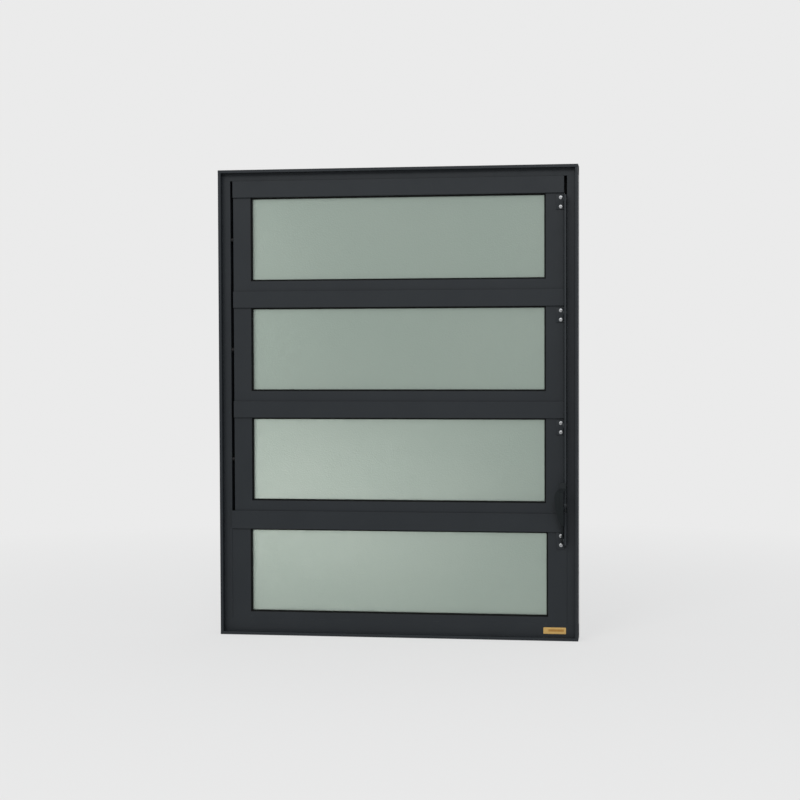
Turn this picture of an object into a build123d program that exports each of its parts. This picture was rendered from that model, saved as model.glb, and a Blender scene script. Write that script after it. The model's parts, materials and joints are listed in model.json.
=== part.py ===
"""Aluminium pivot window: three linked tilting sashes over a fixed light.

Millimetres. X runs to the right as seen from the room, Y runs out of the room and Z up.
The origin is the middle of the underside of the sill.
"""
from build123d import *
import os

os.makedirs("parts", exist_ok=True)

# Outer frame
window_width = 616.0
window_height = 800.0
frame_depth = 46.0
frame_wall = 1.4
rim_width = 5.0
rim_depth = 12.0
jamb_width = 19.0
head_height = 18.0
sill_height = 27.0
edge_radius = 0.5

# Tilting sashes
sash_count = 3
sash_pitch = 189.2
sash_depth = 25.0
sash_wall = 1.4
side_gap = 4.8
head_clearance = 0.5
stile_width = 30.7
top_rail_face = 28.2
bottom_rail_height = 27.0
lip_thickness = 1.5
lip_gap = 2.0
lap = 9.5
rail_gap = 7.0

# Fixed light under the sashes
transom_face = 31.1
fixed_stile_width = 32.2
fixed_rail_height = 11.6

# Glass and its rubber
glass_thickness = 4.0
glass_setback = 5.5
back_rubber = 3.0
pocket_depth = 6.0
rubber_web = 1.0
rubber_reveal = 2.8

# Sash pivots
pivot_setback = 5.0
pivot_below_lip = 100.1
pivot_pin_radius = 2.4
pivot_pin_tail = 9.0
running_clearance = 0.05
bush_wall = 1.1
bush_length = 4.0
bush_play = 0.4

# Rubber strips that close the gaps beside the sashes
seal_thickness = 1.6
seal_setback = 20.0
seal_play = 0.3

# Linkage from the lever to the sash arms
crank_rise = 60.0
rod_pin_reach = 10.0
lever_pivot_reach = 7.5
link_pin_radius = 2.4
link_pin_head_radius = 4.0
link_pin_head = 1.5
rod_thickness = 3.2
rod_depth = 12.7
rod_side_gap = 0.4
rod_above_pin = 8.2
rod_below_pin = 69.0
rod_lug_radius = 5.6
rod_lug_flare = 18.0
rod_corner_radius = 2.5

# Sash arms and the lever's base, folded from sheet
sheet_thickness = 2.0
fold_radius = 0.5
bracket_width = 14.0
bracket_overhang = 0.6
arm_height = 24.5
arm_below_rail = 3.3
ear_radius = 5.6

# Pop rivets
rivet_head_radius = 3.3
rivet_head_height = 0.6
rivet_inset = 5.3
rivet_spacing = 15.4
arm_rivet_below_top = 4.7

# Lever's base, under the transom
lever_base_clearance = 0.3
lever_base_height = 28.0
base_rivet_below_top = 6.1
lever_pivot_below_top = 12.5

# Lever: web, rib and blade
lever_side_play = 0.2
lever_web = 2.4
hub_radius = 5.0
lug_radius = 6.0
grip_edge_gap = 1.2
grip_foot_rise = 25.5
grip_neck_rise = 87.0
grip_foot_reach = 13.8
grip_neck_reach = 21.5
grip_bow = 2.5
rib_width = 5.5
rib_thickness = 5.0
blade_thickness = 2.6
blade_width = 14.6
blade_forward = 5.5
blade_edge_bow = 1.6
blade_tip_width = 5.8
blade_tip_rise = 4.3
blade_belly_rise = 49.2
blade_shoulder_width = 8.5

# Lever: thumb rest over the neck
thumb_rest_left = 7.2
thumb_rest_right = 4.4
thumb_rest_height = 10.0
thumb_rest_lip = 2.5
thumb_rest_lip_rise = 1.8
thumb_rest_lip_height = 1.5
thumb_rest_back = 1.0
thumb_rest_top = 5.5
thumb_rest_root = 2.0
thumb_rest_radius = 0.7
thumb_rest_corner = 2.0

# Fixing holes in the jambs
fixing_radius = 2.75
fixing_access_radius = 5.0
fixing_from_back = 6.5
fixing_from_end = 110.0

# Levels worked out from the sizes above
half_width = window_width / 2
rim_front = -frame_depth / 2
frame_back = frame_depth / 2
frame_face = rim_front + rim_depth
jamb_inner = half_width - jamb_width
head_bottom = window_height - head_height

sash_face = frame_face
sash_back = sash_face + sash_depth
sash_side = jamb_inner - side_gap
lip_back = sash_face - lip_gap
lip_front = lip_back - lip_thickness
drip_front = sash_back + lip_gap
drip_back = drip_front + lip_thickness
leg_back = sash_face + sash_wall
glass_front = sash_face + glass_setback
glass_back = glass_front + glass_thickness
bead_front = glass_back + back_rubber
first_lip_top = head_bottom - head_clearance
transom_top = first_lip_top - sash_count * sash_pitch
transom_bottom = transom_top - transom_face

pivot_y = sash_face + pivot_setback
rod_pin_y = frame_face - rod_pin_reach
base_top = transom_bottom - lever_base_clearance
base_low = base_top - lever_base_height
lever_pivot_y = frame_face - lever_pivot_reach
lever_pivot_z = base_top - lever_pivot_below_top
lever_pin_y = lever_pivot_y + rod_pin_y - pivot_y
lever_pin_z = lever_pivot_z + crank_rise

ear_right = sash_side + bracket_overhang
ear_left = ear_right - sheet_thickness
plate_front = sash_face - sheet_thickness
rod_left = ear_right + rod_side_gap
rod_right = rod_left + rod_thickness
rivet_x = sash_side - rivet_inset
web_right = ear_left - lever_side_play
web_left = web_right - lever_web
bush_radius = pivot_pin_radius + running_clearance + bush_wall


def span(u0, u1, v0, v1, mode=Mode.ADD):
    """Rectangle between two corners of the sketch plane."""
    with Locations(((u0 + u1) / 2, (v0 + v1) / 2)):
        Rectangle(abs(u1 - u0), abs(v1 - v0), mode=mode)


def disc(u, v, radius, mode=Mode.ADD):
    """Circle at a point of the sketch plane."""
    with Locations((u, v)):
        Circle(radius, mode=mode)


def save(builder, name):
    """Labels a finished piece and writes it under its own name."""
    builder.part.label = name
    export_step(builder.part, f"parts/{name}.step")


# Head: a box section with a hollow rim, and two fins that lap the first sash's top rail
with BuildPart() as head:
    with BuildSketch(Plane.YZ.offset(-half_width)) as head_section:
        span(frame_face, frame_back, head_bottom, window_height)
        span(rim_front, frame_face, window_height - rim_width, window_height)
        front_corners = head_section.vertices().group_by(Axis.X)[0]
        fillet(front_corners, edge_radius)
        span(
            frame_face + frame_wall,
            frame_back - frame_wall,
            head_bottom + frame_wall,
            window_height - frame_wall,
            Mode.SUBTRACT,
        )
        span(
            rim_front + frame_wall,
            frame_face - frame_wall,
            window_height - rim_width + frame_wall,
            window_height - frame_wall,
            Mode.SUBTRACT,
        )
    extrude(amount=window_width)
    with BuildSketch(Plane.YZ.offset(-sash_side)):
        span(frame_face, frame_face + frame_wall, first_lip_top - lap, head_bottom)
    extrude(amount=2 * sash_side)
    with BuildSketch(Plane.YZ.offset(-jamb_inner)):
        span(drip_front, drip_back, first_lip_top - 2 * lap - rail_gap, head_bottom)
    extrude(amount=2 * jamb_inner)
save(head, "head")

# Sill: the same rim under a deeper box
with BuildPart() as sill:
    with BuildSketch(Plane.YZ.offset(-half_width)) as sill_section:
        span(frame_face, frame_back, 0, sill_height)
        span(rim_front, frame_face, 0, rim_width)
        front_corners = sill_section.vertices().group_by(Axis.X)[0]
        fillet(front_corners, edge_radius)
        span(
            frame_face + frame_wall,
            frame_back - frame_wall,
            frame_wall,
            sill_height - frame_wall,
            Mode.SUBTRACT,
        )
        span(
            rim_front + frame_wall,
            frame_face - frame_wall,
            frame_wall,
            rim_width - frame_wall,
            Mode.SUBTRACT,
        )
    extrude(amount=window_width)
save(sill, "sill")

# Right jamb: coped at both ends, so that its rim runs on over the head and the sill
pivot_heights = [first_lip_top - pivot_below_lip - i * sash_pitch for i in range(sash_count)]
fixing_heights = [fixing_from_end, window_height - fixing_from_end]
fixing_y = frame_back - fixing_from_back

with BuildPart() as jamb_right:
    with BuildSketch(Plane.XY.offset(rim_width)) as jamb_section:
        span(jamb_inner, half_width, frame_face, frame_back)
        span(half_width - rim_width, half_width, rim_front, frame_face)
        front_corners = jamb_section.vertices().group_by(Axis.Y)[0]
        inner_corner = jamb_section.vertices().sort_by_distance((jamb_inner, frame_face))[0]
        fillet(front_corners + [inner_corner], edge_radius)
        span(
            jamb_inner + frame_wall,
            half_width - frame_wall,
            frame_face + frame_wall,
            frame_back - frame_wall,
            Mode.SUBTRACT,
        )
        span(
            half_width - rim_width + frame_wall,
            half_width - frame_wall,
            rim_front + frame_wall,
            frame_face - frame_wall,
            Mode.SUBTRACT,
        )
    extrude(amount=window_height - 2 * rim_width)
    with BuildSketch(Plane.XY):
        span(jamb_inner, half_width, frame_face, frame_back)
    extrude(amount=sill_height, mode=Mode.SUBTRACT)
    with BuildSketch(Plane.XY.offset(head_bottom)):
        span(jamb_inner, half_width, frame_face, frame_back)
    extrude(amount=head_height, mode=Mode.SUBTRACT)
    with BuildSketch(Plane.YZ.offset(jamb_inner)):
        for height in pivot_heights:
            disc(pivot_y, height, bush_radius)
        for height in fixing_heights:
            disc(fixing_y, height, fixing_access_radius)
    extrude(amount=frame_wall, mode=Mode.SUBTRACT)
    with BuildSketch(Plane.YZ.offset(half_width - frame_wall)):
        for height in fixing_heights:
            disc(fixing_y, height, fixing_radius)
    extrude(amount=frame_wall, mode=Mode.SUBTRACT)
save(jamb_right, "jamb_right")

# Left jamb: the right one's mirror image
with BuildPart() as jamb_left:
    mirror(jamb_right.part, about=Plane.YZ)
save(jamb_left, "jamb_left")

# Nylon bushes pressed into the jambs: the sash pins turn in them, and their ends keep the sashes central
with BuildPart() as pivot_bushes:
    for height in pivot_heights:
        with BuildSketch(Plane.YZ.offset(sash_side + bush_play)):
            disc(pivot_y, height, bush_radius)
            disc(pivot_y, height, pivot_pin_radius + running_clearance, Mode.SUBTRACT)
        extrude(amount=side_gap - bush_play + bush_length)
    mirror(about=Plane.YZ)
save(pivot_bushes, "pivot_bushes")

# Side seals: a rubber strip down each jamb, deep in the gap beside the sashes
seal_floor = transom_top - lap - rail_gap
seal_front = sash_face + seal_setback

with BuildPart() as side_seals:
    with BuildSketch(Plane.XY.offset(seal_floor)):
        span(sash_side + seal_play, jamb_inner, seal_front, seal_front + seal_thickness)
    extrude(amount=head_bottom - seal_floor)
    mirror(about=Plane.YZ)
save(side_seals, "side_seals")


def stile_section(inner, outer):
    """Section of a stile: a box with a glazing pocket on the pane's side."""
    span(inner, outer, sash_face, sash_back)
    pocket = inner + pocket_depth
    span(inner, pocket, leg_back, bead_front, Mode.SUBTRACT)
    span(pocket + sash_wall, outer - sash_wall, leg_back, sash_back - sash_wall, Mode.SUBTRACT)
    span(inner + sash_wall, pocket + sash_wall, bead_front + sash_wall, sash_back - sash_wall, Mode.SUBTRACT)


def bottom_rail_section(low, high):
    """Section of a bottom rail: a box with its glazing pocket on top."""
    span(sash_face, sash_back, low, high)
    pocket = high - pocket_depth
    span(leg_back, bead_front, pocket, high, Mode.SUBTRACT)
    span(leg_back, sash_back - sash_wall, low + sash_wall, pocket - sash_wall, Mode.SUBTRACT)
    span(bead_front + sash_wall, sash_back - sash_wall, pocket - sash_wall, high - sash_wall, Mode.SUBTRACT)


def top_rail_section(low, lip_top):
    """Section of a top rail: a low box under a lip that laps the rail above."""
    box_top = lip_top - lap - rail_gap
    pocket = low + pocket_depth
    span(lip_back, sash_back, low, box_top)
    span(lip_front, lip_back, low, lip_top)
    span(leg_back, bead_front, low, pocket, Mode.SUBTRACT)
    span(leg_back, sash_back - sash_wall, pocket + sash_wall, box_top - sash_wall, Mode.SUBTRACT)
    span(bead_front + sash_wall, sash_back - sash_wall, low + sash_wall, pocket + sash_wall, Mode.SUBTRACT)


def glass_pane(half, low, high):
    """Pane that reaches into the pockets, as far as the rubber's web."""
    reach = pocket_depth - rubber_web
    with BuildPart() as pane:
        with BuildSketch(Plane.XY.offset(low - reach)):
            span(-half - reach, half + reach, glass_front, glass_back)
        extrude(amount=high - low + 2 * reach)
    return pane.part


def glazing_rubber(half, low, high):
    """Rubber channel round a pane, with a wedge that shows inside the metal."""
    reach = pocket_depth - rubber_web
    with BuildPart() as channel:
        with BuildSketch(Plane.XZ.offset(-bead_front)):
            span(-half - pocket_depth, half + pocket_depth, low - pocket_depth, high + pocket_depth)
        extrude(amount=bead_front - leg_back)
        with BuildSketch(Plane.XZ.offset(-bead_front)):
            span(-half + rubber_reveal, half - rubber_reveal, low + rubber_reveal, high - rubber_reveal)
        extrude(amount=bead_front - leg_back, mode=Mode.SUBTRACT)
        with BuildSketch(Plane.XZ.offset(-glass_front)):
            span(-half + rubber_reveal, half - rubber_reveal, low + rubber_reveal, high - rubber_reveal)
        with BuildSketch(Plane.XZ.offset(-leg_back)):
            span(-half, half, low, high)
        loft(mode=Mode.SUBTRACT)
        with BuildSketch(Plane.XZ.offset(-glass_back)):
            span(-half - reach, half + reach, low - reach, high + reach)
        extrude(amount=glass_thickness, mode=Mode.SUBTRACT)
    return channel.part


def pop_rivet(x, z, seat):
    """Head of a pop rivet on a sheet, as a plain disc."""
    with BuildPart() as rivet:
        with BuildSketch(Plane.XZ.offset(-seat)):
            disc(x, z, rivet_head_radius)
        extrude(amount=rivet_head_height)
    return rivet.part


def folded_ear(pin_y, pin_z, low, high, hole_radius, radius):
    """Sheet bracket: a plate that is riveted to a face, bent towards the room into an ear for a pin."""
    plate_left = ear_right - bracket_width
    blank_front = pin_y - radius - fold_radius
    with BuildPart() as bracket:
        with BuildSketch(Plane.XY.offset(low)) as fold:
            span(plate_left, ear_right, plate_front, sash_face)
            span(ear_left, ear_right, blank_front, plate_front)
            inner_corner = fold.vertices().sort_by_distance((ear_left, plate_front))[0]
            fillet(inner_corner, fold_radius)
            outer_corner = fold.vertices().sort_by_distance((ear_right, sash_face))[0]
            fillet(outer_corner, fold_radius + sheet_thickness)
        extrude(amount=high - low)
        with BuildSketch(Plane.YZ.offset(plate_left)):
            with BuildLine():
                Line((sash_face, low), (sash_face, high))
                CenterArc((pin_y, pin_z), radius, 0, 360)
            make_hull()
            span(plate_front, sash_face, low, high)
        extrude(amount=bracket_width, mode=Mode.INTERSECT)
        with BuildSketch(Plane.YZ.offset(ear_left)):
            disc(pin_y, pin_z, hole_radius)
        extrude(amount=sheet_thickness, mode=Mode.SUBTRACT)
    return bracket.part


def link_pin(y, z, start, end, head_at):
    """Pin along X, with a head on one end."""
    with BuildPart() as pin:
        with BuildSketch(Plane.YZ.offset(start)):
            disc(y, z, link_pin_radius)
        extrude(amount=end - start)
        with BuildSketch(Plane.YZ.offset(head_at)):
            disc(y, z, link_pin_head_radius)
        extrude(amount=link_pin_head)
    return pin.part


def build_sash(index):
    """All pieces of one tilting sash, one pitch under the last."""
    name = f"sash_{index + 1}"
    lip_top = first_lip_top - index * sash_pitch
    rail_low = lip_top - top_rail_face
    bottom = lip_top - sash_pitch - lap
    edge_low = bottom + bottom_rail_height
    edge_half = sash_side - stile_width
    pivot_z = pivot_heights[index]
    arm_top = rail_low - arm_below_rail
    arm_low = arm_top - arm_height
    first_rivet = arm_top - arm_rivet_below_top
    rivets = [first_rivet, first_rivet - rivet_spacing]

    with BuildPart() as top_rail:
        with BuildSketch(Plane.YZ.offset(-sash_side)) as rail_section:
            top_rail_section(rail_low, lip_top)
            fillet(rail_section.vertices().group_by(Axis.X)[0], edge_radius)
        extrude(amount=2 * sash_side)
    save(top_rail, f"{name}_top_rail")

    with BuildPart() as bottom_rail:
        with BuildSketch(Plane.YZ.offset(-edge_half)):
            bottom_rail_section(bottom, edge_low)
        extrude(amount=2 * edge_half)
        with BuildSketch(Plane.YZ.offset(-sash_side)):
            span(sash_back, drip_back, bottom, bottom + sash_wall)
            span(drip_front, drip_back, bottom - rail_gap - lap, bottom)
        extrude(amount=2 * sash_side)
    save(bottom_rail, f"{name}_bottom_rail")

    with BuildPart() as stile_left:
        with BuildSketch(Plane.XY.offset(bottom)) as left_section:
            stile_section(edge_half, sash_side)
            corner = left_section.vertices().group_by(Axis.Y)[0].sort_by(Axis.X)[-1]
            fillet(corner, edge_radius)
        extrude(amount=rail_low - bottom)
        with BuildSketch(Plane.YZ.offset(sash_side - sash_wall)):
            disc(pivot_y, pivot_z, pivot_pin_radius)
        extrude(amount=sash_wall, mode=Mode.SUBTRACT)
        mirror(about=Plane.YZ, mode=Mode.REPLACE)
    save(stile_left, f"{name}_stile_left")

    with BuildPart() as stile_right:
        mirror(stile_left.part, about=Plane.YZ)
    save(stile_right, f"{name}_stile_right")

    with BuildPart() as glass:
        add(glass_pane(edge_half, edge_low, rail_low))
    save(glass, f"{name}_glass")

    with BuildPart() as gasket:
        add(glazing_rubber(edge_half, edge_low, rail_low))
    save(gasket, f"{name}_gasket")

    with BuildPart() as pivot_pins:
        with BuildSketch(Plane.YZ.offset(sash_side - pivot_pin_tail)):
            disc(pivot_y, pivot_z, pivot_pin_radius)
        extrude(amount=pivot_pin_tail + side_gap + bush_length)
        mirror(about=Plane.YZ)
        pin_end = rod_right + running_clearance
        add(link_pin(rod_pin_y, pivot_z + crank_rise, ear_left, pin_end, pin_end))
    save(pivot_pins, f"{name}_pivot_pins")

    with BuildPart() as arm:
        add(folded_ear(rod_pin_y, pivot_z + crank_rise, arm_low, arm_top, link_pin_radius, ear_radius))
    save(arm, f"{name}_arm")

    with BuildPart() as arm_rivets:
        for z in rivets:
            add(pop_rivet(rivet_x, z, plate_front))
    save(arm_rivets, f"{name}_arm_rivets")


for sash_index in range(sash_count):
    build_sash(sash_index)

# Fixed light: its own four members, held between the jambs on the sill
fixed_edge = jamb_inner - fixed_stile_width
fixed_edge_low = sill_height + fixed_rail_height

with BuildPart() as fixed_top_rail:
    with BuildSketch(Plane.YZ.offset(-jamb_inner)) as transom_section:
        top_rail_section(transom_bottom, transom_top)
        fillet(transom_section.vertices().group_by(Axis.X)[0], edge_radius)
    extrude(amount=2 * jamb_inner)
save(fixed_top_rail, "fixed_top_rail")

with BuildPart() as fixed_bottom_rail:
    with BuildSketch(Plane.YZ.offset(-fixed_edge)):
        bottom_rail_section(sill_height, fixed_edge_low)
    extrude(amount=2 * fixed_edge)
save(fixed_bottom_rail, "fixed_bottom_rail")

with BuildPart() as fixed_stile_left:
    with BuildSketch(Plane.XY.offset(sill_height)) as fixed_section:
        stile_section(fixed_edge, jamb_inner)
        corner = fixed_section.vertices().group_by(Axis.Y)[0].sort_by(Axis.X)[-1]
        fillet(corner, edge_radius)
    extrude(amount=transom_bottom - sill_height)
    mirror(about=Plane.YZ, mode=Mode.REPLACE)
save(fixed_stile_left, "fixed_stile_left")

with BuildPart() as fixed_stile_right:
    mirror(fixed_stile_left.part, about=Plane.YZ)
save(fixed_stile_right, "fixed_stile_right")

with BuildPart() as fixed_glass:
    add(glass_pane(fixed_edge, fixed_edge_low, transom_bottom))
save(fixed_glass, "fixed_glass")

with BuildPart() as fixed_gasket:
    add(glazing_rubber(fixed_edge, fixed_edge_low, transom_bottom))
save(fixed_gasket, "fixed_gasket")

# Lever base on the fixed light's right stile
with BuildPart() as lever_base:
    running_radius = link_pin_radius + running_clearance
    add(folded_ear(lever_pivot_y, lever_pivot_z, base_low, base_top, running_radius, hub_radius))
save(lever_base, "lever_base")

first_base_rivet = base_top - base_rivet_below_top

with BuildPart() as lever_base_rivets:
    for rivet_z in [first_base_rivet, first_base_rivet - rivet_spacing]:
        add(pop_rivet(rivet_x, rivet_z, plate_front))
save(lever_base_rivets, "lever_base_rivets")

# Control rod: a flat bar with a hole for each sash arm and a lug for the lever's pin
rod_top = pivot_heights[0] + crank_rise + rod_above_pin
rod_bottom = lever_pin_z - rod_below_pin
rod_front = rod_pin_y - rod_depth / 2
rod_back = rod_pin_y + rod_depth / 2

with BuildPart() as control_rod:
    with BuildSketch(Plane.YZ.offset(rod_left)) as rod_outline:
        span(rod_front, rod_back, rod_bottom, rod_top)
        fillet(rod_outline.vertices(), rod_corner_radius)
    extrude(amount=rod_thickness)
    with BuildSketch(Plane.YZ.offset(rod_left)):
        with BuildLine():
            Line((rod_pin_y, lever_pin_z - rod_lug_flare), (rod_pin_y, lever_pin_z + rod_lug_flare))
            CenterArc((lever_pin_y, lever_pin_z), rod_lug_radius, 0, 360)
        make_hull()
    extrude(amount=rod_thickness)
    with BuildSketch(Plane.YZ.offset(rod_left)):
        for height in pivot_heights:
            disc(rod_pin_y, height + crank_rise, link_pin_radius + running_clearance)
        disc(lever_pin_y, lever_pin_z, link_pin_radius + running_clearance)
    extrude(amount=rod_thickness, mode=Mode.SUBTRACT)
save(control_rod, "control_rod")

# Lever: places of the grip's back edge, its blade and its thumb rest
grip_right = rod_left - grip_edge_gap
foot_y = lever_pivot_y - grip_foot_reach
foot_z = lever_pivot_z + grip_foot_rise
neck_y = lever_pivot_y - grip_neck_reach
neck_z = lever_pivot_z + grip_neck_rise
neck_front = neck_y - rib_thickness
belly_z = foot_z + blade_belly_rise
lip_z = neck_z + thumb_rest_lip_rise
lip_y = neck_front - thumb_rest_lip
thumb_top_z = lip_z + thumb_rest_height
grip_depth = lever_pivot_y - lip_y + blade_forward


def bowed_strip(thickness, sweep):
    """Strip whose side view bows towards the room, swept from the grip's right side."""
    with BuildPart() as strip:
        with BuildSketch(Plane.YZ.offset(grip_right)):
            with BuildLine():
                SagittaArc((foot_y, foot_z), (neck_y, neck_z), grip_bow)
                Line((neck_y, neck_z), (neck_y - thickness, neck_z))
                SagittaArc((neck_y - thickness, neck_z), (foot_y - thickness, foot_z), -grip_bow)
                Line((foot_y - thickness, foot_z), (foot_y, foot_z))
            make_face()
        extrude(amount=sweep.length, dir=sweep)
    return strip.part


# Thumb rest: a lip over the neck, with a face that slopes back to its top
with BuildPart() as thumb_rest:
    with BuildSketch(Plane.YZ.offset(grip_right - thumb_rest_left)) as thumb_side:
        with BuildLine():
            Polyline(
                (neck_y - thumb_rest_back, neck_z - thumb_rest_root),
                (neck_front, neck_z - thumb_rest_root),
                (lip_y, lip_z),
                (lip_y, lip_z + thumb_rest_lip_height),
                (neck_y - thumb_rest_back - thumb_rest_top, thumb_top_z),
                (neck_y - thumb_rest_back, thumb_top_z),
                close=True,
            )
        make_face()
        fillet(thumb_side.vertices().group_by(Axis.Y)[-1], thumb_rest_radius)
        fillet(thumb_side.vertices().group_by(Axis.X)[0], thumb_rest_radius)
    extrude(amount=thumb_rest_left + thumb_rest_right)
    with BuildSketch(Plane.XZ.offset(-lever_pivot_y)) as thumb_front:
        span(
            grip_right - thumb_rest_left,
            grip_right + thumb_rest_right,
            neck_z - thumb_rest_root,
            thumb_top_z,
        )
        fillet(thumb_front.vertices().group_by(Axis.Y)[-1], thumb_rest_corner)
    extrude(amount=grip_depth, mode=Mode.INTERSECT)

# Lever: a rib and a leaf-shaped blade on a web that runs from the hub to the rod's pin
with BuildPart() as lever:
    add(bowed_strip(rib_thickness, Vector(-rib_width, 0, 0)))
    add(bowed_strip(blade_thickness, Vector(-blade_width, -blade_forward, 0)))
    with BuildSketch(Plane.XZ.offset(-lever_pivot_y)):
        with BuildLine():
            belly = (grip_right - blade_width, belly_z)
            tip = (grip_right - blade_tip_width, foot_z + blade_tip_rise)
            shoulder = (grip_right - blade_shoulder_width, neck_z)
            SagittaArc(tip, belly, blade_edge_bow)
            SagittaArc(belly, shoulder, blade_edge_bow)
            Polyline(shoulder, (grip_right, neck_z), (grip_right, foot_z), tip)
        make_face()
    extrude(amount=grip_depth, mode=Mode.INTERSECT)
    add(thumb_rest.part)
    with BuildSketch(Plane.YZ.offset(web_left)):
        with BuildLine():
            CenterArc((lever_pivot_y, lever_pivot_z), hub_radius, 0, 360)
            CenterArc((lever_pin_y, lever_pin_z), lug_radius, 0, 360)
        make_hull()
    extrude(amount=lever_web)
    with BuildSketch(Plane.YZ.offset(web_left)):
        with BuildLine():
            SagittaArc((foot_y, foot_z), (neck_y, neck_z), grip_bow)
            Polyline(
                (neck_y, neck_z),
                (lever_pin_y, lever_pin_z),
                (lever_pivot_y, lever_pivot_z),
                (foot_y, foot_z),
            )
        make_face()
    extrude(amount=lever_web)
    with BuildSketch(Plane.YZ.offset(web_left)):
        disc(lever_pivot_y, lever_pivot_z, link_pin_radius)
        disc(lever_pin_y, lever_pin_z, link_pin_radius)
    extrude(amount=lever_web, mode=Mode.SUBTRACT)
save(lever, "lever")

# Lever pins: the one that it turns on and the one that pulls the rod
with BuildPart() as lever_pins:
    add(link_pin(lever_pivot_y, lever_pivot_z, web_left, ear_right, web_left - link_pin_head))
    rod_pin_end = rod_right + running_clearance
    add(link_pin(lever_pin_y, lever_pin_z, web_left, rod_pin_end, rod_pin_end))
save(lever_pins, "lever_pins")
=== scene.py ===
"""Looks of the aluminium pivot window: finishes, small fittings, light and camera.

Metres. X runs to the right as seen from the room, Y out of the room and Z up.
"""
import json
import math

import bmesh
import bpy
from mathutils import Euler, Matrix, Vector


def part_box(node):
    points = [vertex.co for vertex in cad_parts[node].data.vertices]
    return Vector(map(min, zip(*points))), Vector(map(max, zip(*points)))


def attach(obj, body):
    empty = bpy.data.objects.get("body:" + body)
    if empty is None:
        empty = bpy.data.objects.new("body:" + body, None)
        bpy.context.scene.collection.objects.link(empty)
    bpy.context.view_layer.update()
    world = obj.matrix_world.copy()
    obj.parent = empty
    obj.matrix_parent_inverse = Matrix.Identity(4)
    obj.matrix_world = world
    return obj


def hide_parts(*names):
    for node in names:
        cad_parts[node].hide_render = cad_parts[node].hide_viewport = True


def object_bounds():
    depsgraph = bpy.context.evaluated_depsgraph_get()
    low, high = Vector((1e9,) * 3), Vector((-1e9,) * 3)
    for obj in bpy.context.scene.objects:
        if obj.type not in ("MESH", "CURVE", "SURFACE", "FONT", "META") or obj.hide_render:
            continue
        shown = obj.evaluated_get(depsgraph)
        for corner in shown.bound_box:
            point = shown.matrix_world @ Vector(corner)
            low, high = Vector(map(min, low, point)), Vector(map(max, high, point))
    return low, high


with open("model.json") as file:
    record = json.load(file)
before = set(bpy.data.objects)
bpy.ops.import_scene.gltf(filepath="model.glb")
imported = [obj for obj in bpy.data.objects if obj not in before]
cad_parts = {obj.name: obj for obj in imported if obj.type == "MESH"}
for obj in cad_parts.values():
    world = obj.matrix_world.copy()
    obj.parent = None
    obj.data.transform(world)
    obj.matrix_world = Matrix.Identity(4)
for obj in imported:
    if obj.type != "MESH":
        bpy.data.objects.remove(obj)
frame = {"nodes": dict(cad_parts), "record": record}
cad_low, cad_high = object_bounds()

# Photograph's viewpoint
FOCAL_IN_PIXELS = 1700.0
PHOTO_PIXELS = 800.0
SENSOR_MM = 36.0
CAMERA_PLACE = (0.416, -2.879, 0.496)
CAMERA_YAW = 8.15
CAMERA_PITCH = -1.79
CAMERA_ROLL = -0.2

# Studio
BACKDROP = (0.83, 0.83, 0.83, 1.0)
AMBIENT = (0.96, 0.98, 1.0, 1.0)
AMBIENT_STRENGTH = 0.48
LAMP_DISTANCE = 6.0
KEY_DIRECTION = (-0.34, -1.0, 0.66)
KEY_SIZE = 2.3
KEY_POWER = 90.0
FILL_DIRECTION = (0.18, -1.0, 0.50)
FILL_SIZE = 1.4
FILL_POWER = 76.0
BACK_DIRECTION = (0.50, 1.0, 0.70)
BACK_SIZE = 2.6
BACK_POWER = 80.0
REAR_PLACE = (-0.9, 1.1, 0.55)
REAR_SIZE = 0.9
REAR_POWER = 1.8
LOW_PLACE = (-0.80, 1.5, 0.056)
LOW_AIM = (0.0, 0.0, 0.20)
LOW_WIDTH = 1.5
LOW_HEIGHT = 0.11
LOW_POWER = 2.8
PANES = ("sash_1_glass", "sash_2_glass", "sash_3_glass", "fixed_glass")
FLOOR_PAINT = (0.90, 0.90, 0.90, 1.0)
FLOOR_GLOW = 0.73
FLOOR_RADIUS = 2.4
FLOOR_DROP = 0.0005

# Amber sticker on the sill's face
STICKER_LEFT = 0.249
STICKER_RIGHT = 0.287
STICKER_LOW = 0.010
STICKER_HIGH = 0.021
STICKER_THICKNESS = 0.00015
STICKER_CORNER = 0.0012
BAND_LEFT = 0.2575
BAND_RIGHT = 0.2835
BAND_LOW = 0.0139
BAND_HIGH = 0.0179
BAND_THICKNESS = 0.0002
BAND_CORNER = 0.0006

# Rounding of the edges of folded, punched and cast pieces
CAST_ROUNDING = 0.0005
SHEET_ROUNDING = 0.00025
SHARP_CORNER = 40.0
SAME_POINT = 0.000001
PAINT_ROUNDING = 0.0004

# Domes and broken-off mandrels of the pop rivets
DOME_SKIRT = 0.00005
DOME_EDGE = 0.00066
DOME_HEIGHT = 0.00165
DOME_STEPS = 7
MANDREL_HOLE = 0.0012
MANDREL_RADIUS = 0.0010
MANDREL_PROUD = 0.00010

SASHES = ("sash_1", "sash_2", "sash_3")


def new_material(name):
    """Empty principled material, with its node tree and shader."""
    material = bpy.data.materials.new(name)
    material.use_nodes = True
    tree = material.node_tree
    return material, tree, tree.nodes["Principled BSDF"]


def object_place(tree):
    """Place on the object, in metres."""
    return tree.nodes.new("ShaderNodeTexCoord").outputs["Object"]


def noise(tree, place, scale, detail=2.0, roughness=0.5):
    """Value of a noise pattern with that many cells to the metre."""
    texture = tree.nodes.new("ShaderNodeTexNoise")
    texture.inputs["Scale"].default_value = scale
    texture.inputs["Detail"].default_value = detail
    texture.inputs["Roughness"].default_value = roughness
    tree.links.new(place, texture.inputs["Vector"])
    return texture.outputs["Fac"]


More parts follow.
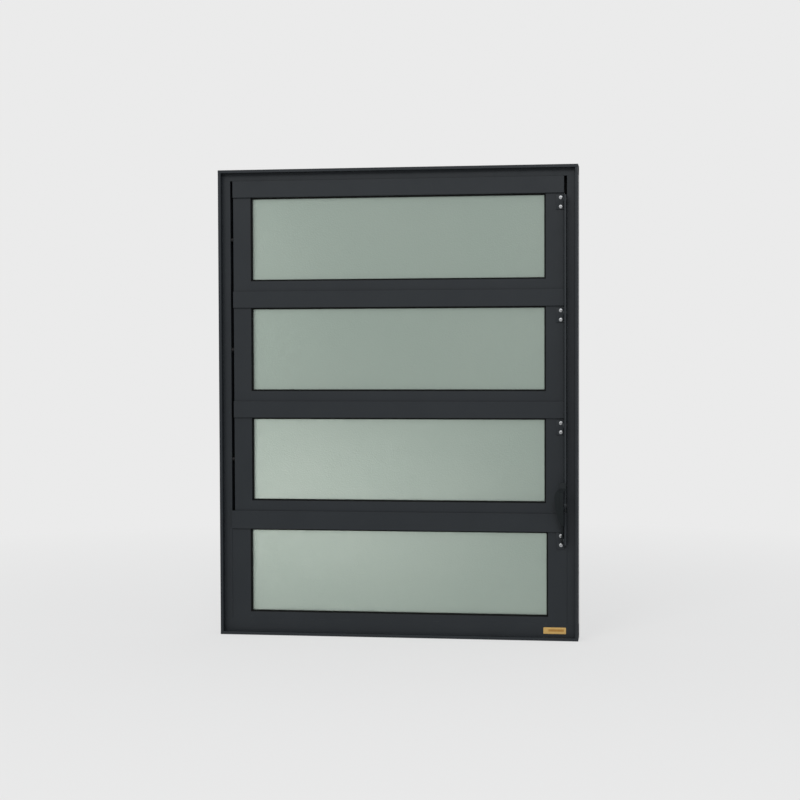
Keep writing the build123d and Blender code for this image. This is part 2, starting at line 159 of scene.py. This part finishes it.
def spread(tree, value, low, high, start=0.3, end=0.7):
    """Value stretched from start..end to low..high."""
    stretch = tree.nodes.new("ShaderNodeMapRange")
    stretch.inputs["From Min"].default_value = start
    stretch.inputs["From Max"].default_value = end
    stretch.inputs["To Min"].default_value = low
    stretch.inputs["To Max"].default_value = high
    tree.links.new(value, stretch.inputs["Value"])
    return stretch.outputs["Result"]


def mix_colour(tree, factor, first, second):
    """Blend of two colours, each a tuple or a socket."""
    mix = tree.nodes.new("ShaderNodeMix")
    mix.data_type = "RGBA"
    tree.links.new(factor, mix.inputs["Factor"])
    for socket, colour in ((mix.inputs["A"], first), (mix.inputs["B"], second)):
        if isinstance(colour, tuple):
            socket.default_value = colour
        else:
            tree.links.new(colour, socket)
    return mix.outputs["Result"]


def bump(tree, height, distance, under=None):
    """Normal of a relief whose full height is that distance."""
    relief = tree.nodes.new("ShaderNodeBump")
    relief.inputs["Strength"].default_value = 1.0
    relief.inputs["Distance"].default_value = distance
    tree.links.new(height, relief.inputs["Height"])
    if under is not None:
        tree.links.new(under, relief.inputs["Normal"])
    return relief.outputs["Normal"]


def rounded_normal(tree, radius):
    """Normal of the surface with its edges rounded to that radius."""
    rounding = tree.nodes.new("ShaderNodeBevel")
    rounding.samples = 4
    rounding.inputs["Radius"].default_value = radius
    return rounding.outputs["Normal"]


def edge_share(tree, rounded):
    """One on the edges, where the rounded normal leaves the face's own, and nought on the flats."""
    face = tree.nodes.new("ShaderNodeNewGeometry")
    agreement = tree.nodes.new("ShaderNodeVectorMath")
    agreement.operation = "DOT_PRODUCT"
    tree.links.new(rounded, agreement.inputs[0])
    tree.links.new(face.outputs["Normal"], agreement.inputs[1])
    return spread(tree, agreement.outputs["Value"], 1.0, 0.0, 0.80, 0.99)


def powder_coat(name, dark, light, roughness, grain, shine):
    """Satin powder coat: faint orange peel, slight cloudiness, a little dust and rubbed edges."""
    material, tree, shader = new_material(name)
    place = object_place(tree)
    clouds = spread(tree, noise(tree, place, 14.0, 4.0), 0.0, 1.0)
    colour = mix_colour(tree, clouds, dark, light)
    dust = spread(tree, noise(tree, place, 900.0, 3.0, 0.7), 0.0, 0.35, 0.62, 0.85)
    pale = (light[0] * 2.2, light[1] * 2.2, light[2] * 2.15, 1.0)
    dusty = mix_colour(tree, dust, colour, pale)
    rounded = rounded_normal(tree, PAINT_ROUNDING)
    patches = spread(tree, noise(tree, place, 180.0, 4.0, 0.6), 0.0, 0.8, 0.42, 0.7)
    rubbed = multiply(tree, edge_share(tree, rounded), patches)
    worn = (light[0] * 3.0, light[1] * 2.9, light[2] * 2.8, 1.0)
    tree.links.new(mix_colour(tree, rubbed, dusty, worn), shader.inputs["Base Color"])
    gloss = spread(tree, noise(tree, place, 60.0, 3.0), roughness - 0.04, roughness + 0.05)
    tree.links.new(gloss, shader.inputs["Roughness"])
    peel = bump(tree, noise(tree, place, 420.0, 1.0), grain, rounded)
    fine = bump(tree, noise(tree, place, 2600.0, 2.0), grain * 0.25, peel)
    tree.links.new(fine, shader.inputs["Normal"])
    shader.inputs["Specular IOR Level"].default_value = shine
    return material


def bare_aluminium():
    """Bright rivets, lightly scuffed."""
    material, tree, shader = new_material("bare_aluminium")
    place = object_place(tree)
    scuffs = noise(tree, place, 1800.0, 3.0, 0.6)
    tone = spread(tree, scuffs, 0.0, 1.0)
    colour = mix_colour(tree, tone, (0.30, 0.31, 0.32, 1.0), (0.44, 0.45, 0.46, 1.0))
    tree.links.new(colour, shader.inputs["Base Color"])
    tree.links.new(spread(tree, scuffs, 0.36, 0.50), shader.inputs["Roughness"])
    tree.links.new(bump(tree, scuffs, 0.00003), shader.inputs["Normal"])
    shader.inputs["Metallic"].default_value = 1.0
    return material


def blackened_steel():
    """Oiled black steel of the pins, a little brighter where they turn."""
    material, tree, shader = new_material("black_steel")
    place = object_place(tree)
    wear = noise(tree, place, 1400.0, 3.0, 0.6)
    tone = spread(tree, wear, 0.0, 1.0, 0.4, 0.75)
    colour = mix_colour(tree, tone, (0.005, 0.006, 0.007, 1.0), (0.016, 0.017, 0.018, 1.0))
    tree.links.new(colour, shader.inputs["Base Color"])
    tree.links.new(spread(tree, wear, 0.42, 0.55), shader.inputs["Roughness"])
    tree.links.new(bump(tree, wear, 0.00002), shader.inputs["Normal"])
    shader.inputs["Specular IOR Level"].default_value = 0.15
    return material


def dull_steel():
    """Broken end of a rivet's mandrel."""
    material, tree, shader = new_material("mandrel_steel")
    place = object_place(tree)
    marks = noise(tree, place, 2600.0, 3.0, 0.6)
    tone = spread(tree, marks, 0.0, 1.0)
    colour = mix_colour(tree, tone, (0.16, 0.16, 0.16, 1.0), (0.34, 0.33, 0.32, 1.0))
    tree.links.new(colour, shader.inputs["Base Color"])
    tree.links.new(spread(tree, marks, 0.4, 0.6), shader.inputs["Roughness"])
    tree.links.new(bump(tree, marks, 0.0001), shader.inputs["Normal"])
    shader.inputs["Metallic"].default_value = 1.0
    return material


def black_rubber():
    """Matt black rubber with a faint skin and a bloom of dust."""
    material, tree, shader = new_material("glazing_rubber")
    place = object_place(tree)
    bloom = spread(tree, noise(tree, place, 120.0, 4.0, 0.6), 0.0, 1.0, 0.35, 0.75)
    colour = mix_colour(tree, bloom, (0.004, 0.004, 0.004, 1.0), (0.010, 0.011, 0.011, 1.0))
    tree.links.new(colour, shader.inputs["Base Color"])
    tree.links.new(spread(tree, bloom, 0.68, 0.82, 0.0, 1.0), shader.inputs["Roughness"])
    skin = bump(tree, noise(tree, place, 1500.0, 2.0), 0.00003)
    tree.links.new(skin, shader.inputs["Normal"])
    shader.inputs["Specular IOR Level"].default_value = 0.12
    return material


def black_nylon():
    """Moulded bushes."""
    material, tree, shader = new_material("black_nylon")
    place = object_place(tree)
    mottle = noise(tree, place, 700.0, 3.0)
    tone = spread(tree, mottle, 0.0, 1.0)
    colour = mix_colour(tree, tone, (0.005, 0.005, 0.006, 1.0), (0.011, 0.011, 0.012, 1.0))
    tree.links.new(colour, shader.inputs["Base Color"])
    tree.links.new(spread(tree, mottle, 0.42, 0.56), shader.inputs["Roughness"])
    tree.links.new(bump(tree, mottle, 0.00003), shader.inputs["Normal"])
    shader.inputs["Specular IOR Level"].default_value = 0.15
    return material


def obscured_glass():
    """Sage-green obscured glass: a fine pebbled relief that scatters what is behind it."""
    material, tree, shader = new_material("obscured_glass")
    place = object_place(tree)
    pebbles = tree.nodes.new("ShaderNodeTexVoronoi")
    pebbles.feature = "SMOOTH_F1"
    pebbles.inputs["Scale"].default_value = 520.0
    pebbles.inputs["Smoothness"].default_value = 0.8
    tree.links.new(place, pebbles.inputs["Vector"])
    cloud = spread(tree, noise(tree, place, 5.0, 2.0), 0.0, 1.0)
    colour = mix_colour(tree, cloud, (0.350, 0.425, 0.374, 1.0), (0.364, 0.435, 0.384, 1.0))
    tree.links.new(colour, shader.inputs["Base Color"])
    gloss = spread(tree, noise(tree, place, 90.0, 3.0), 0.46, 0.54)
    tree.links.new(gloss, shader.inputs["Roughness"])
    relief = bump(tree, pebbles.outputs["Distance"], 0.00022)
    ripple = bump(tree, noise(tree, place, 45.0, 2.0), 0.0002, relief)
    tree.links.new(ripple, shader.inputs["Normal"])
    shader.inputs["Transmission Weight"].default_value = 0.72
    shader.inputs["IOR"].default_value = 1.45
    shader.inputs["Specular IOR Level"].default_value = 0.4
    return material


def sticker_film(name, dull, clear):
    """Plain sticker with a glossy, slightly rubbed face."""
    material, tree, shader = new_material(name)
    place = object_place(tree)
    rub = spread(tree, noise(tree, place, 260.0, 4.0, 0.6), 0.0, 1.0)
    colour = mix_colour(tree, rub, dull, clear)
    tree.links.new(colour, shader.inputs["Base Color"])
    tree.links.new(spread(tree, rub, 0.28, 0.42, 0.0, 1.0), shader.inputs["Roughness"])
    crease = bump(tree, noise(tree, place, 90.0, 2.0), 0.00008)
    tree.links.new(crease, shader.inputs["Normal"])
    return material


def finish_nodes():
    """Gives every CAD node its finish, and returns the finishes by slot."""
    frame_paint = powder_coat(
        "frame_paint", (0.0165, 0.0199, 0.0235, 1.0), (0.0190, 0.0227, 0.0264, 1.0), 0.46, 0.00006, 0.2
    )
    # The lever's coat is much darker than the frame's: partly its own paint, partly painted shade for
    # the shade that falls on its tilted blade.
    lever_paint = powder_coat(
        "lever_paint", (0.0058, 0.0084, 0.0096, 1.0), (0.0074, 0.0103, 0.0116, 1.0), 0.50, 0.00011, 0.16
    )
    by_slot = {
        "dark_paint": frame_paint,
        "lever_paint": lever_paint,
        "obscured_glass": obscured_glass(),
        "glazing_rubber": black_rubber(),
        "bare_aluminium": bare_aluminium(),
        "black_steel": blackened_steel(),
        "nylon": black_nylon(),
    }
    for part in frame["record"]["subparts"]:
        mesh = frame["nodes"][part["node"]].data
        mesh.materials.clear()
        mesh.materials.append(by_slot[part["material_slot"]])
    return by_slot


def finish_piece(shape, name, material, body):
    """Turns a finished shape into a piece that rides on a body."""
    mesh = bpy.data.meshes.new(name)
    bmesh.ops.recalc_face_normals(shape, faces=shape.faces[:])
    shape.to_mesh(mesh)
    shape.free()
    mesh.materials.append(material)
    piece = bpy.data.objects.new(name, mesh)
    bpy.context.scene.collection.objects.link(piece)
    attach(piece, body)
    return piece


def make_rounded(node, body, width):
    """Piece that stands for a node, with the sharp edges of its metal rounded."""
    plain = frame["nodes"][node].data
    shape = bmesh.new()
    shape.from_mesh(plain)
    bmesh.ops.remove_doubles(shape, verts=shape.verts[:], dist=SAME_POINT)
    bmesh.ops.dissolve_limit(
        shape, angle_limit=math.radians(1.0), verts=shape.verts[:], edges=shape.edges[:]
    )
    corner = math.radians(SHARP_CORNER)
    sharp = [edge for edge in shape.edges if edge.is_manifold and edge.calc_face_angle() > corner]
    bmesh.ops.bevel(
        shape,
        geom=sharp,
        offset=width,
        offset_type="OFFSET",
        segments=3,
        profile=0.5,
        affect="EDGES",
        clamp_overlap=True,
        material=-1,
    )
    piece = finish_piece(shape, f"{node}_rounded", plain.materials[0], body)
    for face in piece.data.polygons:
        face.use_smooth = True
    piece.data.set_sharp_from_angle(angle=math.radians(30.0))
    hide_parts(node)


def round_mechanism():
    """Rounds the cast lever, and the folded and punched sheet pieces round it."""
    make_rounded("lever", "lever", CAST_ROUNDING)
    make_rounded("control_rod", "control_rod", SHEET_ROUNDING)
    make_rounded("lever_base", "frame", SHEET_ROUNDING)
    for sash in SASHES:
        make_rounded(f"{sash}_arm", sash, SHEET_ROUNDING)


def add_label(name, low, high, thickness, corner, material):
    """Flat label with rounded corners on the sill's face, between two corners given by X and Z."""
    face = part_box("fixed_bottom_rail")[0].y
    size = Vector((high[0] - low[0], high[1] - low[1], 1.0))
    middle = Vector(((low[0] + high[0]) / 2, face, (low[1] + high[1]) / 2))
    shape = bmesh.new()
    bmesh.ops.create_grid(shape, x_segments=1, y_segments=1, size=0.5)
    bmesh.ops.scale(shape, vec=size, verts=shape.verts[:])
    bmesh.ops.bevel(
        shape,
        geom=shape.verts[:],
        offset=corner,
        segments=5,
        profile=0.5,
        affect="VERTICES",
        material=-1,
    )
    lifted = bmesh.ops.extrude_face_region(shape, geom=shape.faces[:])
    corners = [item for item in lifted["geom"] if isinstance(item, bmesh.types.BMVert)]
    bmesh.ops.translate(shape, vec=(0.0, 0.0, thickness), verts=corners)
    bmesh.ops.rotate(shape, matrix=Matrix.Rotation(math.radians(90), 3, "X"), verts=shape.verts[:])
    bmesh.ops.translate(shape, vec=middle, verts=shape.verts[:])
    finish_piece(shape, name, material, "frame")


def make_sticker():
    """Bare amber sticker, paler round its plain darker band."""
    pale = sticker_film("pale_amber", (0.56, 0.35, 0.10, 1.0), (0.66, 0.42, 0.13, 1.0))
    dark = sticker_film("deep_amber", (0.37, 0.18, 0.026, 1.0), (0.44, 0.22, 0.038, 1.0))
    sticker = ((STICKER_LEFT, STICKER_LOW), (STICKER_RIGHT, STICKER_HIGH))
    band = ((BAND_LEFT, BAND_LOW), (BAND_RIGHT, BAND_HIGH))
    add_label("sticker", *sticker, STICKER_THICKNESS, STICKER_CORNER, pale)
    add_label("sticker_band", *band, BAND_THICKNESS, BAND_CORNER, dark)


def make_rivet_domes(aluminium, steel):
    """Rounded heads over the plain ones of the pop rivets, each with its mandrel's end in the middle."""
    plain_low, plain_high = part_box("lever_base_rivets")
    reach = (plain_high.x - plain_low.x) / 2
    seat = plain_high.y
    owners = [(f"{sash}_arm_rivets", sash) for sash in SASHES]
    owners.append(("lever_base_rivets", "frame"))
    for rivets, body in owners:
        low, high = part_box(rivets)
        domes = bmesh.new()
        ends = bmesh.new()
        for height in (high.z - reach, low.z + reach):
            middle = Vector((low.x + reach, seat, height))
            add_dome(domes, middle, reach + DOME_SKIRT)
            add_mandrel(ends, middle)
        finish_piece(domes, f"{rivets}_domes", aluminium, body)
        finish_piece(ends, f"{rivets}_mandrels", steel, body)


def add_dome(shape, middle, reach):
    """Dome spun round an axis along Y, with a round hole at its crown."""
    rim = [Vector((reach, 0.0, 0.0))]
    for step in range(DOME_STEPS + 1):
        angle = math.radians(90.0) * step / DOME_STEPS
        out = MANDREL_HOLE + (reach - MANDREL_HOLE) * math.cos(angle)
        rise = DOME_EDGE + (DOME_HEIGHT - DOME_EDGE) * math.sin(angle)
        rim.append(Vector((out, -rise, 0.0)))
    rim.append(Vector((MANDREL_HOLE, 0.0, 0.0)))
    chain = [shape.verts.new(middle + place) for place in rim]
    edges = [shape.edges.new(pair) for pair in zip(chain, chain[1:])]
    bmesh.ops.spin(
        shape,
        geom=chain + edges,
        cent=middle,
        axis=(0.0, 1.0, 0.0),
        angle=math.radians(360.0),
        steps=32,
        use_merge=True,
    )


def add_mandrel(shape, middle):
    """Snapped end of the mandrel, standing in the dome's hole."""
    length = DOME_HEIGHT - MANDREL_PROUD
    drum = bmesh.ops.create_cone(
        shape,
        cap_ends=True,
        segments=20,
        radius1=MANDREL_RADIUS * 0.8,
        radius2=MANDREL_RADIUS,
        depth=length,
    )["verts"]
    bmesh.ops.rotate(shape, matrix=Matrix.Rotation(math.radians(90), 3, "X"), verts=drum)
    bmesh.ops.translate(shape, vec=middle - Vector((0.0, length / 2, 0.0)), verts=drum)


def make_floor():
    """Pale floor that keeps the shadow near the window and runs out into the backdrop."""
    shape = bmesh.new()
    bmesh.ops.create_circle(shape, cap_ends=True, segments=96, radius=FLOOR_RADIUS)
    bmesh.ops.translate(shape, vec=(0.0, 0.0, -FLOOR_DROP), verts=shape.verts[:])
    mesh = bpy.data.meshes.new("floor")
    shape.to_mesh(mesh)
    shape.free()
    material = bpy.data.materials.new("floor_paint")
    material.use_nodes = True
    tree = material.node_tree
    tree.nodes.clear()
    place = tree.nodes.new("ShaderNodeTexCoord").outputs["Object"]
    reach = tree.nodes.new("ShaderNodeVectorMath")
    reach.operation = "LENGTH"
    tree.links.new(place, reach.inputs[0])
    fade = spread(tree, reach.outputs["Value"], FLOOR_GLOW, 1.0, 0.35, FLOOR_RADIUS * 0.8)
    path = tree.nodes.new("ShaderNodeLightPath")
    far = multiply(tree, fade, path.outputs["Is Camera Ray"])
    share = larger(tree, far, seen_in_gloss_or_glass(tree, path))
    diffuse = tree.nodes.new("ShaderNodeBsdfDiffuse")
    diffuse.inputs["Color"].default_value = FLOOR_PAINT
    glow = tree.nodes.new("ShaderNodeEmission")
    glow.inputs["Color"].default_value = BACKDROP
    mix = tree.nodes.new("ShaderNodeMixShader")
    output = tree.nodes.new("ShaderNodeOutputMaterial")
    tree.links.new(share, mix.inputs["Fac"])
    tree.links.new(diffuse.outputs["BSDF"], mix.inputs[1])
    tree.links.new(glow.outputs["Emission"], mix.inputs[2])
    tree.links.new(mix.outputs["Shader"], output.inputs["Surface"])
    mesh.materials.append(material)
    floor = bpy.data.objects.new("floor", mesh)
    bpy.context.scene.collection.objects.link(floor)


def two_inputs(tree, operation, first, second):
    """Sum of the kind that a Math node makes of two values."""
    node = tree.nodes.new("ShaderNodeMath")
    node.operation = operation
    tree.links.new(first, node.inputs[0])
    tree.links.new(second, node.inputs[1])
    return node.outputs["Value"]


def multiply(tree, first, second):
    """Product of two values."""
    return two_inputs(tree, "MULTIPLY", first, second)


def larger(tree, first, second):
    """Larger one of two values."""
    return two_inputs(tree, "MAXIMUM", first, second)


def seen_in_gloss_or_glass(tree, path):
    """One where a ray comes from a mirror-like surface or through glass, else nought."""
    return larger(tree, path.outputs["Is Glossy Ray"], path.outputs["Is Transmission Ray"])


def make_world():
    """Pale backdrop for what is seen, and even light for what is lit."""
    world = bpy.data.worlds.new("studio")
    bpy.context.scene.world = world
    world.use_nodes = True
    tree = world.node_tree
    tree.nodes.clear()
    light = tree.nodes.new("ShaderNodeBackground")
    light.inputs["Color"].default_value = AMBIENT
    light.inputs["Strength"].default_value = AMBIENT_STRENGTH
    backdrop = tree.nodes.new("ShaderNodeBackground")
    backdrop.inputs["Color"].default_value = BACKDROP
    path = tree.nodes.new("ShaderNodeLightPath")
    mix = tree.nodes.new("ShaderNodeMixShader")
    output = tree.nodes.new("ShaderNodeOutputWorld")
    seen = larger(tree, path.outputs["Is Camera Ray"], seen_in_gloss_or_glass(tree, path))
    tree.links.new(seen, mix.inputs["Fac"])
    tree.links.new(light.outputs["Background"], mix.inputs[1])
    tree.links.new(backdrop.outputs["Background"], mix.inputs[2])
    tree.links.new(mix.outputs["Shader"], output.inputs["Surface"])


def make_lamp(name, place, aim, size, power, colour):
    """Soft lamp of a width and height, which the camera doesn't see."""
    lamp = bpy.data.lights.new(name, "AREA")
    lamp.shape = "RECTANGLE"
    lamp.size, lamp.size_y = size
    lamp.energy = power
    lamp.color = colour
    holder = bpy.data.objects.new(name, lamp)
    holder.location = place
    holder.rotation_euler = (aim - place).to_track_quat("-Z", "Y").to_euler()
    holder.visible_camera = False
    bpy.context.scene.collection.objects.link(holder)
    return holder


def make_lights():
    """Key from the upper left of the room, a fill by the camera, and lamps behind the window."""
    middle = (cad_low + cad_high) / 2
    key = middle + Vector(KEY_DIRECTION).normalized() * LAMP_DISTANCE
    make_lamp("key_lamp", key, middle, (KEY_SIZE, KEY_SIZE), KEY_POWER, (1.0, 0.985, 0.96))
    fill = middle + Vector(FILL_DIRECTION).normalized() * LAMP_DISTANCE
    make_lamp("fill_lamp", fill, middle, (FILL_SIZE, FILL_SIZE), FILL_POWER, (0.98, 0.99, 1.0))
    panes = [frame["nodes"][name] for name in PANES]
    window = [thing for thing in bpy.data.objects if thing.type == "MESH" and thing.name != "floor"]
    back = middle + Vector(BACK_DIRECTION).normalized() * LAMP_DISTANCE
    behind = make_lamp("back_lamp", back, middle, (BACK_SIZE, BACK_SIZE), BACK_POWER, (1.0, 0.985, 0.96))
    light_only(behind, [thing for thing in window if thing not in panes])
    warm = (1.0, 0.95, 0.94)
    rear = make_lamp("rear_lamp", Vector(REAR_PLACE), middle, (REAR_SIZE, REAR_SIZE), REAR_POWER, warm)
    light_only(rear, panes)
    strip = (LOW_WIDTH, LOW_HEIGHT)
    rosy = (1.0, 0.88, 0.90)
    low = make_lamp("low_lamp", Vector(LOW_PLACE), Vector(LOW_AIM), strip, LOW_POWER, rosy)
    light_only(low, panes[2:])


def light_only(lamp, things):
    """Keeps a lamp's light to those things."""
    lit = bpy.data.collections.new(f"{lamp.name}_things")
    for thing in things:
        lit.objects.link(thing)
    lamp.light_linking.receiver_collection = lit


def make_camera():
    """Camera where the photograph was taken from."""
    camera = bpy.data.cameras.new("camera")
    camera.sensor_width = SENSOR_MM
    camera.lens = FOCAL_IN_PIXELS / PHOTO_PIXELS * SENSOR_MM
    holder = bpy.data.objects.new("camera", camera)
    turn = Matrix.Rotation(math.radians(CAMERA_YAW), 4, "Z")
    tip = Matrix.Rotation(math.radians(90.0 + CAMERA_PITCH), 4, "X")
    roll = Matrix.Rotation(math.radians(CAMERA_ROLL), 4, "Z")
    holder.matrix_world = Matrix.Translation(CAMERA_PLACE) @ turn @ tip @ roll
    bpy.context.scene.collection.objects.link(holder)
    bpy.context.scene.camera = holder


finishes = finish_nodes()
round_mechanism()
make_rivet_domes(finishes["bare_aluminium"], dull_steel())
make_sticker()
make_floor()
make_world()
make_lights()
make_camera()
bpy.context.scene.view_settings.view_transform = "Standard"
